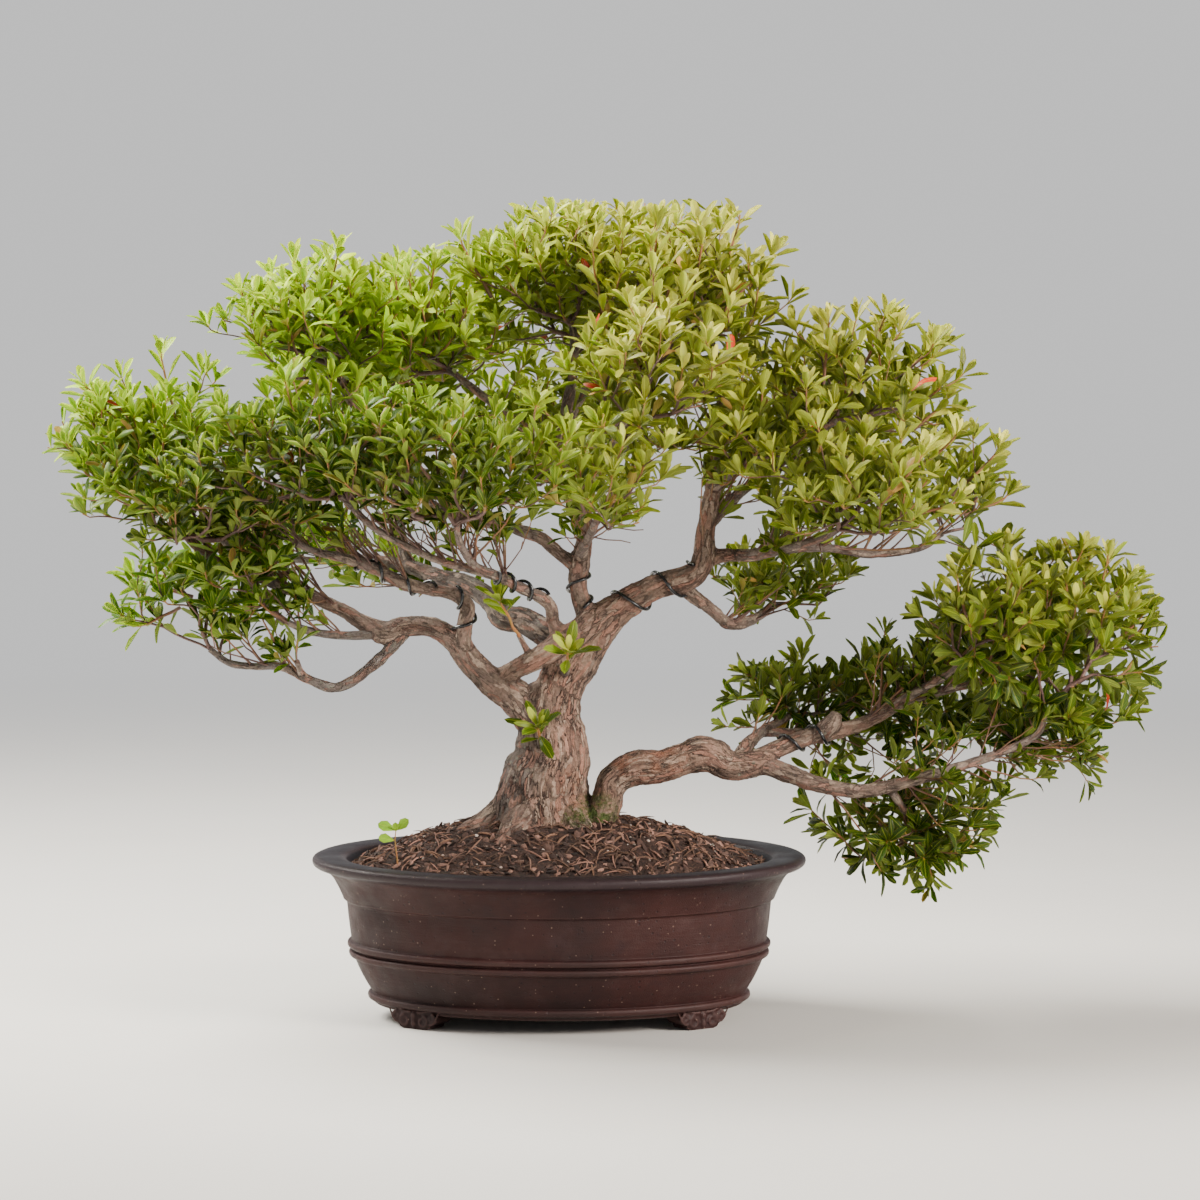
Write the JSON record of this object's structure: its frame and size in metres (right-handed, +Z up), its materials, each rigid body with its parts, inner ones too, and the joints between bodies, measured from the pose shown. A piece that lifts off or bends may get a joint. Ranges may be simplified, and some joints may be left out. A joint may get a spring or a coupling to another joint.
{
  "type": "satsuki azalea bonsai",
  "caption": "Spreading satsuki azalea bonsai with a low trailing right limb, in an oval unglazed dark brown pot with beads and cloud feet.",
  "frame": {"origin": "on the ground under the middle of the whole plant's bounding box", "axes": "+Z up, +X to the right along the pot's length seen from the tree's front, +Y away from the front"},
  "size_m": [1.0054, 0.5464, 0.74],
  "materials": {
    "fired_clay": "satin",
    "screen_mesh": "matte",
    "soil": "matte",
    "mulch": "matte",
    "bark": "matte",
    "wire": "gloss",
    "leaf": "satin"
  },
  "bodies": {
    "root": {"pot": "fired_clay", "drain_screen_left": "screen_mesh", "drain_screen_right": "screen_mesh", "soil": "soil", "mulch": "mulch", "trunk": "bark", "wire_left_stub": "wire", "wire_left_branch": "wire", "wire_front_branch": "wire", "wire_right_limb": "wire", "wire_low_right": "wire", "wire_central": "wire", "spray_low_right_outer": "leaf", "spray_low_right_top": "leaf", "spray_low_right_front": "leaf", "spray_low_right_under": "leaf", "spray_low_right_hanging": "leaf", "spray_low_right_rear": "leaf", "spray_low_right_back": "leaf", "spray_mid_right_rear": "leaf", "spray_right_tip": "leaf", "spray_right_shoulder": "leaf", "spray_right_front": "leaf", "spray_right_inner": "leaf", "spray_right_back": "leaf", "spray_apex_right": "leaf", "spray_apex_left": "leaf", "spray_apex_front": "leaf", "spray_apex_back": "leaf", "spray_crown_left": "leaf", "spray_crown_inner": "leaf", "spray_crown_back": "leaf", "spray_left_front": "leaf", "spray_centre_front": "leaf", "spray_far_left": "leaf", "spray_left_middle": "leaf", "spray_left_wired": "leaf", "spray_left_low": "leaf", "spray_left_low_front": "leaf", "spray_left_low_back": "leaf", "spray_left_back_under": "leaf", "spray_centre_low_front": "leaf", "spray_back_middle": "leaf", "spray_droop_twig": "leaf", "spray_apex_shoot": "leaf", "trunk_shoot_low": "leaf", "trunk_shoot_high": "leaf", "trunk_shoot_left": "leaf"}
  },
  "joints": []
}
